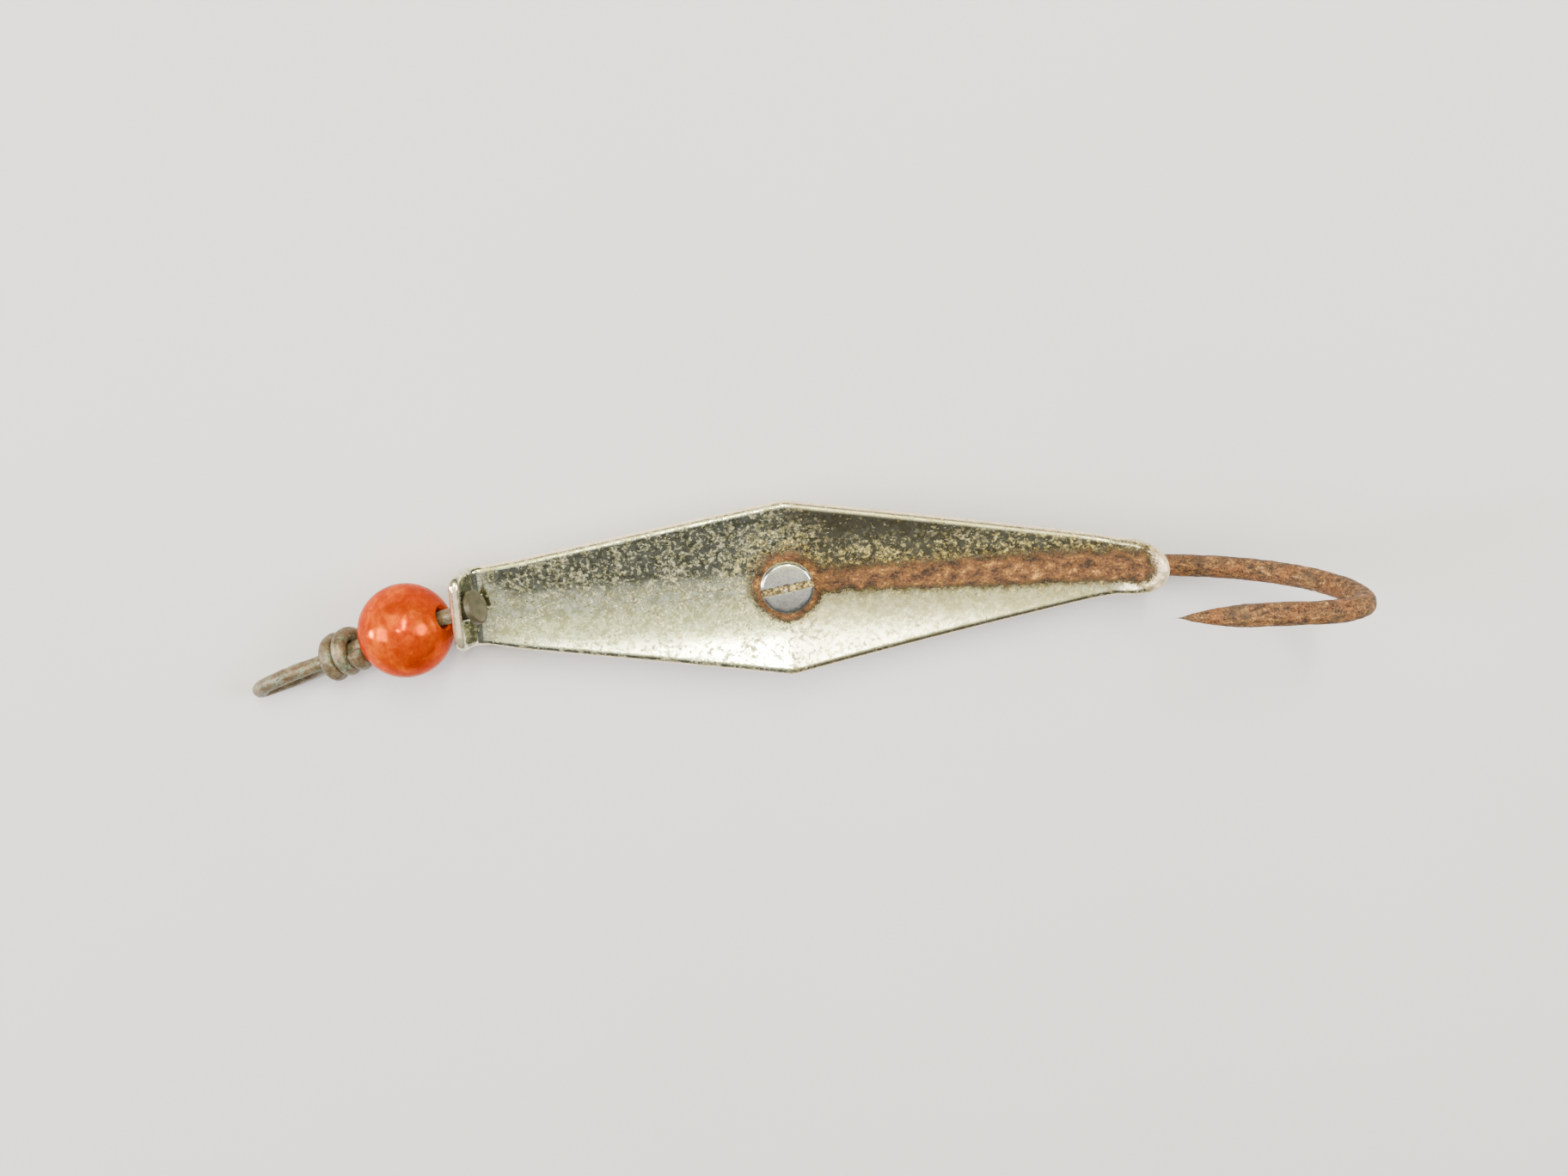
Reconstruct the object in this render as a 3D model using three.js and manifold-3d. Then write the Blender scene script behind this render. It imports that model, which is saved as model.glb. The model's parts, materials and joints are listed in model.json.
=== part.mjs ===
// A trolling spoon lure, in millimetres, +Z up, +X from the line eye to the hook.
// A dished lozenge plate carries a single hook, clamped to its back by a slotted screw,
// a washer and a nut. A headed wire hangs in the plate's turned-up head, runs through
// a bead and ends in a twisted line loop. The lure stands on the nut and the line loop.
import * as THREE from 'three';
import { mergeVertices } from 'three/addons/utils/BufferGeometryUtils.js';
import Module from 'manifold-3d';

const wasm = await Module();
wasm.setup();

// Fastener stack under the plate, from the surface up
const NUT_FLATS = 5.5;
const NUT_HEIGHT = 2.0;
const WASHER_RADIUS = 3.5;
const WASHER_HEIGHT = 0.5;
const SEAT_GAP = 0.06;
const THREAD_RADIUS = 1.5;
const THREAD_HOLE_RADIUS = 1.62;
const CLEAR_HOLE_RADIUS = 1.7;
const SCREW_HEAD_RADIUS = 2.82;
const SCREW_HEAD_HEIGHT = 1.35;
const SCREW_HEAD_STAND = 0.32;
const SLOT_WIDTH = 0.8;
const SLOT_DEPTH = 0.65;
const SLOT_TURN = THREE.MathUtils.degToRad(9);

// Plate
const PLATE_THICKNESS = 1.25;
const HALF_WIDTH = 9.45;
const DISH_RADIUS = 19;
const SWEEP_RADIUS = 900;
const TAIL_LENGTH = 40.9;
const TAIL_TAPER_END = 35;
const TAIL_HALF_WIDTH = 3.08;
const TAIL_ROUNDNESS = 2.5;
const TAIL_LIFT_START = 31;
const TAIL_LIFT_RADIUS = 11;
const KINK_ANGLE = THREE.MathUtils.degToRad(2.5);
const KINK_RADIUS = 12;
const BEND_START = 31.9;
const BEND_RADIUS = 2;
const BEND_HALF_WIDTH = 4.3;
const HEAD_ANGLE = THREE.MathUtils.degToRad(78);
const HEAD_LENGTH = 2.9;
const HEAD_HALF_WIDTH = 4.1;
const HEAD_CORNER_RADIUS = 1.5;
const HEAD_SHIFT = 0.35;
const HEAD_SHIFT_START = 28;
const HEAD_HOLE_RADIUS = 1.3;
const HEAD_HOLE_UP = 1.2;

// Hook
const HOOK_RADIUS = 1.2;
const RING_RADIUS = 3.05;
const HOOK_GAP_TO_PLATE = 0.15;
const HOOK_TURN = THREE.MathUtils.degToRad(-1.3);
const HOOK_LEAN = THREE.MathUtils.degToRad(3);
const HOOK_BEND_START = 40;
const HOOK_REACH = 57;
const HOOK_BELLY = 13.7;
const HOOK_THROAT = 17.2;
const HOOK_TIP = 37.4;
const POINT_LENGTH = 8;
const TIP_RADIUS = 0.1;

// Wire link and bead, measured along the wire from the head hole
const WIRE_RADIUS = 0.825;
const WIRE_HEAD_AT = 1.5;
const WIRE_HEAD_RADIUS = 1.8;
const WIRE_HEAD_HEIGHT = 0.7;
const LINK_TURN = THREE.MathUtils.degToRad(18.5);
const LINK_SLOPE = THREE.MathUtils.degToRad(16.7);
const BEAD_RADIUS = 5;
const BEAD_HOLE_RADIUS = 1.1;
const BEAD_AT = 7.05;
const KNEE_AT = 12.2;
const KNEE_TURN = THREE.MathUtils.degToRad(5);
const WRAP_NEAR = 13;
const WRAP_FAR = 17.35;
const WRAP_TURNS = 2.5;
const WRAP_RADIUS = 1.76;
const LOOP_FAR = 27.2;
const LOOP_HALF_HEIGHT = 2.45;
const LOOP_TWIST = THREE.MathUtils.degToRad(17);

// Heights that follow from the stack
const WASHER_BASE = NUT_HEIGHT + SEAT_GAP;
const HOOK_AXIS = WASHER_BASE + WASHER_HEIGHT + SEAT_GAP + HOOK_RADIUS;
const PLATE_UNDER = HOOK_AXIS + HOOK_RADIUS + HOOK_GAP_TO_PLATE;
const PLATE_MIDDLE = PLATE_UNDER + PLATE_THICKNESS / 2;
const PLATE_TOP = PLATE_UNDER + PLATE_THICKNESS;

const PLATING = { color: 0xa8a58c, roughness: 0.35, metalness: 0.9 };
const RUSTED_STEEL = { color: 0x8f6242, roughness: 0.9, metalness: 0.3 };
const NICKEL = { color: 0xb4b4b0, roughness: 0.3, metalness: 0.95 };
const OLD_BRASS = { color: 0x8a7d62, roughness: 0.6, metalness: 0.7 };
const AMBER_BEAD = { color: 0xe0481c, roughness: 0.2, metalness: 0 };

function positionsOnly(geometry) {
  geometry.deleteAttribute('normal');
  geometry.deleteAttribute('uv');
  return mergeVertices(geometry);
}

function toSolid(geometry) {
  const plain = positionsOnly(geometry);
  return new wasm.Manifold(new wasm.Mesh({
    numProp: 3,
    vertProperties: new Float32Array(plain.attributes.position.array),
    triVerts: new Uint32Array(plain.index.array),
  }));
}

function toGeometry(solid) {
  const mesh = solid.getMesh();
  const geometry = new THREE.BufferGeometry();
  geometry.setAttribute('position', new THREE.BufferAttribute(mesh.vertProperties, 3));
  geometry.setIndex(new THREE.BufferAttribute(mesh.triVerts, 1));
  return geometry;
}

function namedMesh(name, geometry, finish) {
  const mesh = new THREE.Mesh(geometry, new THREE.MeshStandardMaterial(finish));
  mesh.name = name;
  return mesh;
}

// Turned profiles are drawn as [radius, height] and spun about +Z.
function turned(profile, segments) {
  const points = profile.map(([radius, height]) => new THREE.Vector2(radius, height));
  return new THREE.LatheGeometry(points, segments).rotateX(Math.PI / 2);
}

function uprightCylinder(radius, low, high, segments) {
  const geometry = new THREE.CylinderGeometry(radius, radius, high - low, segments);
  return geometry.rotateX(Math.PI / 2).translate(0, 0, (low + high) / 2);
}

// A closed wire: a capped cylinder laid along a curve, its radius set along the way.
function wireAlong(curve, steps, sides, radiusAt) {
  const geometry = new THREE.CylinderGeometry(1, 1, 1, sides, steps);
  const frames = curve.computeFrenetFrames(steps, false);
  const spots = geometry.attributes.position;
  const spot = new THREE.Vector3();
  for (let i = 0; i < spots.count; i += 1) {
    const step = Math.round((spots.getY(i) + 0.5) * steps);
    const radius = radiusAt(step / steps);
    curve.getPointAt(step / steps, spot);
    spot.addScaledVector(frames.normals[step], spots.getX(i) * radius);
    spot.addScaledVector(frames.binormals[step], -spots.getZ(i) * radius);
    spots.setXYZ(i, spot.x, spot.y, spot.z);
  }
  return geometry;
}

// Middle line of the plate. s runs from the screw, positive to the tail. Each side is a
// run of arcs, [length, radius], that turn upwards: the tail curls up, and the head side
// is kinked at the screw and bent up at its end. lean is the angle turned so far.
const KINK_ARC = KINK_ANGLE * KINK_RADIUS;
const BEND_ARC = BEND_RADIUS * (HEAD_ANGLE - KINK_ANGLE);
const HEAD_END = -BEND_START - BEND_ARC - HEAD_LENGTH;
const TAIL_ARCS = [[TAIL_LIFT_START, SWEEP_RADIUS], [TAIL_LENGTH - TAIL_LIFT_START, TAIL_LIFT_RADIUS]];
const HEAD_ARCS = [
  [KINK_ARC, KINK_RADIUS], [BEND_START - KINK_ARC, Infinity], [BEND_ARC, BEND_RADIUS], [HEAD_LENGTH, Infinity],
];

function spine(s) {
  const way = s > 0 ? 1 : -1;
  const line = { x: 0, z: PLATE_MIDDLE, lean: 0 };
  let left = Math.abs(s);
  for (const [length, radius] of s > 0 ? TAIL_ARCS : HEAD_ARCS) {
    const step = Math.min(length, left);
    const turn = step / radius;
    const chord = turn > 0 ? 2 * radius * Math.sin(turn / 2) : step;
    line.x += way * chord * Math.cos(line.lean + turn / 2);
    line.z += chord * Math.sin(line.lean + turn / 2);
    line.lean += turn;
    left -= step;
  }
  line.lean *= -way;
  return line;
}

// The head was cut a little off the plate's middle line.
function sideShift(s) {
  return HEAD_SHIFT * Math.max(0, -s - HEAD_SHIFT_START) / (-HEAD_END - HEAD_SHIFT_START);
}

function halfWidth(s) {
  if (s > TAIL_TAPER_END) {
    const along = (s - TAIL_TAPER_END) / (TAIL_LENGTH - TAIL_TAPER_END);
    return Math.max(0.45, TAIL_HALF_WIDTH * Math.sqrt(Math.max(0, 1 - along ** TAIL_ROUNDNESS)));
  }
  if (s > 0) {
    return THREE.MathUtils.lerp(HALF_WIDTH, TAIL_HALF_WIDTH, s / TAIL_TAPER_END);
  }
  if (s > -BEND_START) {
    return THREE.MathUtils.lerp(HALF_WIDTH, BEND_HALF_WIDTH, -s / BEND_START);
  }
  const past = (-BEND_START - s) / (-BEND_START - HEAD_END);
  const side = THREE.MathUtils.lerp(BEND_HALF_WIDTH, HEAD_HALF_WIDTH, past);
  const corner = Math.max(0, HEAD_CORNER_RADIUS - (s - HEAD_END));
  return side - HEAD_CORNER_RADIUS + Math.sqrt(HEAD_CORNER_RADIUS ** 2 - corner ** 2);
}

// The dish across the plate fades out before the flat, turned-up head.
function dishDepth(s) {
  return THREE.MathUtils.smoothstep(s, -BEND_START - BEND_ARC, -BEND_START + 4);
}

function platePoint(s, across, offset) {
  const line = spine(s);
  const y = across * halfWidth(s);
  const slope = dishDepth(s) * y / DISH_RADIUS;
  const inward = new THREE.Vector3(Math.sin(line.lean), 0, Math.cos(line.lean));
  const point = new THREE.Vector3(line.x, y + sideShift(s), line.z);
  point.addScaledVector(inward, slope * y / 2);
  const normal = inward.add(new THREE.Vector3(0, -slope, 0)).normalize();
  return point.addScaledVector(normal, offset);
}

function spread(from, to, count) {
  return Array.from({ length: count }, (_, i) => from + (to - from) * i / count);
}

function plateStations() {
  const bendEnd = -BEND_START - BEND_ARC;
  const cornerAt = (i) => HEAD_END + HEAD_CORNER_RADIUS * (1 - Math.cos(i * Math.PI / 8));
  return [
    ...Array.from({ length: 4 }, (_, i) => cornerAt(i)),
    ...spread(HEAD_END + HEAD_CORNER_RADIUS, bendEnd, 2),
    ...spread(bendEnd, -BEND_START, 6),
    ...spread(-BEND_START, 0, 11),
    ...spread(0, TAIL_LIFT_START, 9),
    ...spread(TAIL_LIFT_START, TAIL_TAPER_END, 4),
    ...spread(TAIL_TAPER_END, TAIL_LENGTH - 1.5, 6),
    ...spread(TAIL_LENGTH - 1.5, TAIL_LENGTH, 4),
    TAIL_LENGTH,
  ];
}

function headHole() {
  const s = -BEND_START - BEND_ARC - HEAD_HOLE_UP;
  const line = spine(s);
  return new THREE.Vector3(line.x, sideShift(s), line.z);
}

function headHoleCutter() {
  const cutter = new THREE.CylinderGeometry(HEAD_HOLE_RADIUS, HEAD_HOLE_RADIUS, 6, 28);
  const spot = headHole();
  return cutter.rotateZ(Math.PI / 2).rotateY(HEAD_ANGLE - Math.PI / 2).translate(...spot);
}

function spoonPlate() {
  const stations = plateStations();
  const steps = stations.length - 1;
  const sheet = new THREE.BoxGeometry(2, 2, 1, steps, 12, 1);
  const spots = sheet.attributes.position;
  for (let i = 0; i < spots.count; i += 1) {
    const s = stations[Math.round((spots.getX(i) + 1) / 2 * steps)];
    const point = platePoint(s, spots.getY(i), spots.getZ(i) * PLATE_THICKNESS);
    spots.setXYZ(i, point.x, point.y, point.z);
  }
  const screwHole = toSolid(uprightCylinder(CLEAR_HOLE_RADIUS, 0, PLATE_TOP + 5, 28));
  const plate = toSolid(sheet).subtract(screwHole).subtract(toSolid(headHoleCutter()));
  return namedMesh('spoon_plate', toGeometry(plate), PLATING);
}

// The hook lies in an upright plane, leaning a little: along runs out from the screw.
function hookPoint(along, height) {
  const sweep = Math.min(along, HOOK_BEND_START) ** 2 / (2 * SWEEP_RADIUS);
  const rise = height + sweep;
  const point = new THREE.Vector3(along, -rise * Math.sin(HOOK_LEAN), rise * Math.cos(HOOK_LEAN));
  return point.applyAxisAngle(new THREE.Vector3(0, 0, 1), HOOK_TURN).setZ(point.z + HOOK_AXIS);
}

function ringPoint(degrees) {
  const angle = THREE.MathUtils.degToRad(degrees);
  return new THREE.Vector3(RING_RADIUS * Math.cos(angle), RING_RADIUS * Math.sin(angle), HOOK_AXIS);
}

function bezierPoints(corners, count) {
  const curve = new THREE.CubicBezierCurve(...corners.map(([a, h]) => new THREE.Vector2(a, h)));
  return curve.getPoints(count).slice(1).map((p) => hookPoint(p.x, p.y));
}

function hookCurve() {
  const ring = Array.from({ length: 15 }, (_, i) => ringPoint(50 + i * 19));
  const shank = [4.6, 6.5, 12, 20, 30, HOOK_BEND_START].map((along) => hookPoint(along, 0));
  shank[0].y -= 0.5;
  const rising = bezierPoints(
    [[HOOK_BEND_START, 0], [49.5, 1.0], [HOOK_REACH, 7.4], [HOOK_REACH, HOOK_BELLY]], 8);
  const crown = bezierPoints(
    [[HOOK_REACH, HOOK_BELLY], [HOOK_REACH, 16], [55.2, HOOK_THROAT], [51.5, HOOK_THROAT]], 6);
  const point = [47, 42, HOOK_TIP].map((along) => hookPoint(along, HOOK_THROAT));
  return new THREE.CatmullRomCurve3([...ring, ...shank, ...rising, ...crown, ...point]);
}

function barb(curve, length) {
  const wedge = new THREE.Shape();
  wedge.moveTo(0, 0);
  wedge.lineTo(3.4, -0.2);
  wedge.lineTo(3.0, -1.35);
  wedge.closePath();
  const blade = new THREE.ExtrudeGeometry(wedge, { depth: 0.7, bevelEnabled: false });
  blade.translate(0, 0, -0.35).rotateX(Math.PI / 2);
  const root = curve.getPointAt(1 - 4.2 / length);
  return blade.rotateX(HOOK_LEAN).rotateZ(HOOK_TURN).translate(root.x, root.y, root.z);
}

function hook() {
  const curve = hookCurve();
  curve.arcLengthDivisions = 800;
  const length = curve.getLength();
  const taper = (u) => Math.min(1, (1 - u) * length / POINT_LENGTH);
  const radiusAt = (u) => Math.max(TIP_RADIUS, HOOK_RADIUS * Math.sin(taper(u) * Math.PI / 2));
  const wire = toSolid(wireAlong(curve, 84, 10, radiusAt));
  return namedMesh('hook', toGeometry(wire.add(toSolid(barb(curve, length)))), RUSTED_STEEL);
}

function screw() {
  const under = PLATE_TOP + SCREW_HEAD_STAND;
  const top = under + SCREW_HEAD_HEIGHT;
  const end = 0.15;
  const body = turned([
    [0, end], [THREAD_RADIUS - 0.25, end], [THREAD_RADIUS, end + 0.25], [THREAD_RADIUS, under],
    [SCREW_HEAD_RADIUS, under], [SCREW_HEAD_RADIUS, top - 0.3], [SCREW_HEAD_RADIUS - 0.28, top], [0, top],
  ], 32);
  const slot = new THREE.BoxGeometry(3 * SCREW_HEAD_RADIUS, SLOT_WIDTH, 2 * SLOT_DEPTH);
  slot.rotateZ(SLOT_TURN).translate(0, 0, top);
  return namedMesh('screw', toGeometry(toSolid(body).subtract(toSolid(slot))), NICKEL);
}

function washer() {
  const top = WASHER_BASE + WASHER_HEIGHT;
  const ring = turned([
    [CLEAR_HOLE_RADIUS, WASHER_BASE], [WASHER_RADIUS, WASHER_BASE],
    [WASHER_RADIUS, top], [CLEAR_HOLE_RADIUS, top], [CLEAR_HOLE_RADIUS, WASHER_BASE],
  ], 32);
  return namedMesh('washer', positionsOnly(ring), NICKEL);
}

function nut() {
  const corner = NUT_FLATS / Math.sqrt(3);
  const hexagon = toSolid(uprightCylinder(corner, 0, NUT_HEIGHT, 6));
  const rounding = toSolid(turned([
    [0, 0], [corner - 0.3, 0], [corner, 0.25], [corner, NUT_HEIGHT - 0.25],
    [corner - 0.3, NUT_HEIGHT], [0, NUT_HEIGHT],
  ], 24));
  const bore = toSolid(uprightCylinder(THREAD_HOLE_RADIUS, -1, NUT_HEIGHT + 1, 28));
  return namedMesh('nut', toGeometry(hexagon.intersect(rounding).subtract(bore)), NICKEL);
}

// A drilled ball, its hole broken at both mouths by a small countersink.
function bead() {
  const mouth = BEAD_HOLE_RADIUS + 0.25;
  const start = Math.asin(mouth / BEAD_RADIUS);
  const arc = Array.from({ length: 17 }, (_, i) => {
    const angle = start + (Math.PI - 2 * start) * i / 16;
    return [BEAD_RADIUS * Math.sin(angle), -BEAD_RADIUS * Math.cos(angle)];
  });
  const mouthAt = BEAD_RADIUS * Math.cos(start) - 0.25;
  const profile = [[BEAD_HOLE_RADIUS, -mouthAt], ...arc, [BEAD_HOLE_RADIUS, mouthAt]];
  profile.push(profile[0]);
  const ball = positionsOnly(turned(profile, 28)).rotateY(Math.PI / 2);
  const mesh = namedMesh('bead', ball, AMBER_BEAD);
  mesh.position.x = -BEAD_AT;
  return mesh;
}

// Past the bead the wire is bent a little to one side.
function linkPoint(along, side, height) {
  const point = new THREE.Vector3(-along, side, height);
  if (along > KNEE_AT) {
    const turn = new THREE.Vector3(0, 0, 1);
    point.setX(KNEE_AT - along).applyAxisAngle(turn, KNEE_TURN);
    point.x -= KNEE_AT;
  }
  return point;
}

function loopPoint(along, side, height) {
  const across = side * Math.cos(LOOP_TWIST) + height * Math.sin(LOOP_TWIST);
  const up = height * Math.cos(LOOP_TWIST) - side * Math.sin(LOOP_TWIST);
  return linkPoint(along, across, up);
}

// The wire's end is wound back over its own stem, towards the bead.
function wrapPoint(share) {
  const angle = Math.PI * (2 * WRAP_TURNS * share - 1);
  const along = THREE.MathUtils.lerp(WRAP_FAR, WRAP_NEAR, share);
  return linkPoint(along, WRAP_RADIUS * Math.sin(angle), WRAP_RADIUS * Math.cos(angle));
}

function linkCurve() {
  const stem = [-WIRE_HEAD_AT - 0.3, 2, 6, 11, 13, 16].map((along) => linkPoint(along, 0, 0));
  const height = LOOP_HALF_HEIGHT;
  const loop = [
    loopPoint(18, 0, 0.45), loopPoint(19.8, 0, 0.72 * height), loopPoint(22.4, 0, height),
    loopPoint(25.3, 0, 0.8 * height), loopPoint(LOOP_FAR, 0, 0), loopPoint(25.3, 0, -0.8 * height),
    loopPoint(22.4, 0, -height), loopPoint(19.6, 0.1, -0.86 * height),
  ];
  const wraps = Array.from({ length: 26 }, (_, i) => wrapPoint(i / 25));
  return new THREE.CatmullRomCurve3([...stem, ...loop, ...wraps]);
}

function wireHead() {
  const far = WIRE_HEAD_HEIGHT;
  const disc = turned([
    [0, 0], [WIRE_HEAD_RADIUS - 0.1, 0], [WIRE_HEAD_RADIUS, 0.1], [WIRE_HEAD_RADIUS, far - 0.3],
    [WIRE_HEAD_RADIUS - 0.3, far - 0.05], [0, far],
  ], 28);
  return disc.rotateY(Math.PI / 2).translate(WIRE_HEAD_AT, 0, 0);
}

function linkWire() {
  const curve = linkCurve();
  curve.arcLengthDivisions = 800;
  const wire = toSolid(wireAlong(curve, 118, 8, () => WIRE_RADIUS));
  return namedMesh('link_wire', toGeometry(wire.add(toSolid(wireHead()))), OLD_BRASS);
}

function hangingLink() {
  const link = new THREE.Group();
  link.position.copy(headHole());
  link.rotation.set(0, -LINK_SLOPE, LINK_TURN, 'ZYX');
  link.add(linkWire(), bead());
  return link;
}

// The origin is under the middle of the whole lure, on the surface that it stands on.
const lure = new THREE.Group();
lure.add(spoonPlate(), hook(), screw(), washer(), nut(), hangingLink());
const extent = new THREE.Box3().setFromObject(lure, true);
const middle = extent.getCenter(new THREE.Vector3());
lure.position.set(-middle.x, -middle.y, -extent.min.z);

export default lure;
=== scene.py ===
"""A spoon lure: the fine meshes, materials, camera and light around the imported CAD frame."""
import json
import math
from types import SimpleNamespace

import bpy
import numpy as np
from mathutils import Matrix, Vector


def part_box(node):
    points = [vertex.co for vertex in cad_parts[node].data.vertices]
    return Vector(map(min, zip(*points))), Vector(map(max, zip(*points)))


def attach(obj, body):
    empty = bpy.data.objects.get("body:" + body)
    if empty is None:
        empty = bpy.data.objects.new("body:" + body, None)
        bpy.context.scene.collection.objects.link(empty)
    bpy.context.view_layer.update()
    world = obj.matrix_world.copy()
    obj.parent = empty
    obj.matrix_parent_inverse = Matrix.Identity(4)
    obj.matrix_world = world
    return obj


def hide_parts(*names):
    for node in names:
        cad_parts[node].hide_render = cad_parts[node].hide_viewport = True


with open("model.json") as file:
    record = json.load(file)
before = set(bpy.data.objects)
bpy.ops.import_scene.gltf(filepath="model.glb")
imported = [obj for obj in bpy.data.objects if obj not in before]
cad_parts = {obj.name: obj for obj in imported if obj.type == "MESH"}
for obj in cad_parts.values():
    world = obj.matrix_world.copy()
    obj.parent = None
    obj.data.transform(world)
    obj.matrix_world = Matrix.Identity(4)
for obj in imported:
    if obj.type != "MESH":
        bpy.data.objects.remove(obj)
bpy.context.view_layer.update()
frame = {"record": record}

MM = 0.001

# The CAD's own places, in millimetres
screw_low, screw_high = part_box("screw")
AXIS = np.array([(screw_low.x + screw_high.x) / 2, (screw_low.y + screw_high.y) / 2, 0]) / MM
SCREW_TOP = screw_high.z / MM
swing, turn = frame["record"]["behaviour"]["joints"]
PIVOT = np.array(swing["pos_m"]) / MM
LINK_AXIS = np.array(turn["axis"]) / np.linalg.norm(turn["axis"])
ACROSS = np.cross([0, 0, 1.0], LINK_AXIS)
ACROSS /= np.linalg.norm(ACROSS)
UPWARD = np.cross(LINK_AXIS, ACROSS)

# Driving sizes, the same as the CAD's, in millimetres
NUT_FLATS = 5.5
NUT_HEIGHT = 2.0
WASHER_RADIUS = 3.5
WASHER_HEIGHT = 0.5
SEAT_GAP = 0.06
THREAD_RADIUS = 1.5
CLEAR_HOLE_RADIUS = 1.7
SCREW_HEAD_RADIUS = 2.82
SCREW_HEAD_HEIGHT = 1.35
SLOT_WIDTH = 0.8
SLOT_DEPTH = 0.65
SLOT_TURN = math.radians(9)
PLATE_THICKNESS = 1.25
HALF_WIDTH = 9.45
DISH_RADIUS = 19.0
SWEEP_RADIUS = 900.0
TAIL_LENGTH = 40.9
TAIL_TAPER_END = 35.0
TAIL_HALF_WIDTH = 3.08
TAIL_ROUNDNESS = 2.5
TAIL_LIFT_START = 31.0
TAIL_LIFT_RADIUS = 11.0
KINK_ANGLE = math.radians(2.5)
KINK_RADIUS = 12.0
BEND_START = 31.9
BEND_RADIUS = 2.0
BEND_HALF_WIDTH = 4.3
HEAD_ANGLE = math.radians(78)
HEAD_LENGTH = 2.9
HEAD_HALF_WIDTH = 4.1
HEAD_CORNER_RADIUS = 1.5
HEAD_SHIFT = 0.35
HEAD_SHIFT_START = 28.0
HEAD_HOLE_RADIUS = 1.3
HOOK_RADIUS = 1.2
RING_RADIUS = 3.05
HOOK_TURN = math.radians(-1.3)
HOOK_LEAN = math.radians(3)
HOOK_BEND_START = 40.0
HOOK_REACH = 57.0
HOOK_BELLY = 13.7
HOOK_THROAT = 17.2
HOOK_TIP = 37.4
POINT_LENGTH = 8.0
WIRE_RADIUS = 0.825
WIRE_HEAD_AT = 1.5
WIRE_HEAD_RADIUS = 1.8
WIRE_HEAD_HEIGHT = 0.7
BEAD_RADIUS = 5.0
BEAD_HOLE_RADIUS = 1.1
BEAD_AT = 7.05
KNEE_AT = 12.2
KNEE_TURN = math.radians(5)
WRAP_NEAR = 13.0
WRAP_FAR = 17.35
WRAP_TURNS = 2.5
WRAP_RADIUS = 1.76
LOOP_FAR = 27.2
LOOP_HALF_HEIGHT = 2.45
LOOP_TWIST = math.radians(17)

# Finer detail, in millimetres
NUT_CHAMFER = 0.26
NUT_MOUTH_RADIUS = 2.0
THREAD_PITCH = 0.5
THREAD_DEPTH = 0.25
SCREW_END = 0.15
SCREW_HEAD_DOME = 0.12
PLATE_GAP = 0.15
EDGE_ROUND = 0.58
DENT_DEPTH = 0.02
BARB_FROM_TIP = 4.2
BARB_HALF_THICKNESS = 0.32
BARB_DEPTH = 1.3
BEAD_LIP = 0.25

# The middle line of the hook's ring is drawn through this many points, this many degrees apart
RING_POINTS = 15
RING_START_DEGREES = 50
RING_STEP_DEGREES = 19

# Heights up the fastener stack
WASHER_BASE = NUT_HEIGHT + SEAT_GAP
HOOK_AXIS = WASHER_BASE + WASHER_HEIGHT + SEAT_GAP + HOOK_RADIUS
PLATE_MIDDLE = HOOK_AXIS + HOOK_RADIUS + PLATE_GAP + PLATE_THICKNESS / 2

# The plate's middle line either side of the screw, as arcs of (length, radius)
STRAIGHT = 1e9
KINK_ARC = KINK_ANGLE * KINK_RADIUS
BEND_ARC = BEND_RADIUS * (HEAD_ANGLE - KINK_ANGLE)
HEAD_END = -BEND_START - BEND_ARC - HEAD_LENGTH
TAIL_ARCS = [(TAIL_LIFT_START, SWEEP_RADIUS), (TAIL_LENGTH - TAIL_LIFT_START, TAIL_LIFT_RADIUS)]
HEAD_ARCS = [(KINK_ARC, KINK_RADIUS), (BEND_START - KINK_ARC, STRAIGHT), (BEND_ARC, BEND_RADIUS),
             (HEAD_LENGTH, STRAIGHT)]

# Camera: the distance, the lean towards +Y, the roll, the point looked at, and the lens
CAMERA_DISTANCE = 180.0
CAMERA_LEAN = math.radians(15)
CAMERA_ROLL = math.radians(-3.7)
CAMERA_TARGET = AXIS + [-0.35, -0.21, 6.8]
SENSOR_WIDTH = 36.0
LENS = 39.08

# The rust stain runs from a ring round the screw to the tail
RUST_RING_RADIUS = 3.55
RUST_BAND_END = 36.6

# Area lights: name, place in metres, size in metres, power in watts, colour
LIGHTS = [
    ("overhead", (0.02, 0.33, 0.54), (0.70, 0.46), 3.2, (1.0, 1.0, 0.32)),
    ("soft_middle", (0.0, 0.067, 0.66), (0.70, 0.266), 0.95, (1.0, 1.0, 0.62)),
    ("soft_near", (0.0, -0.158, 0.66), (0.70, 0.184), 0.36, (1.0, 1.0, 0.90)),
    ("lamp", (0.036, 0.245, 0.47), (0.050, 0.20), 2.6, (1.0, 1.0, 0.95)),
    ("left_window", (-0.46, 0.04, 0.40), (0.26, 0.26), 3.7, (1.0, 0.965, 1.0)),
    ("low_window", (-0.60, 0.0, 0.13), (0.08, 0.08), 3.2, (1.0, 0.95, 0.85)),
    ("spark", (-0.10, 0.16, 0.58), (0.025, 0.025), 1.0, (1.0, 1.0, 1.0)),
    ("right_window", (0.46, 0.10, 0.42), (0.26, 0.26), 3.7, (1.0, 0.965, 1.0)),
]
WORLD_COLOUR = (0.80, 0.80, 0.84, 1)
WORLD_STRENGTH = 0.21
FLOOR_REACH = 3000

# How fine the meshes are, and how deep each wire's skin is pitted
HOOK_STEP = 0.16
HOOK_PITTING = 0.055
LINK_STEP = 0.09
LINK_PITTING = 0.03
PLATE_STEP = 0.24
PLATE_COLUMNS = 73


# ---------------------------------------------------------------- meshes

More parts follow.
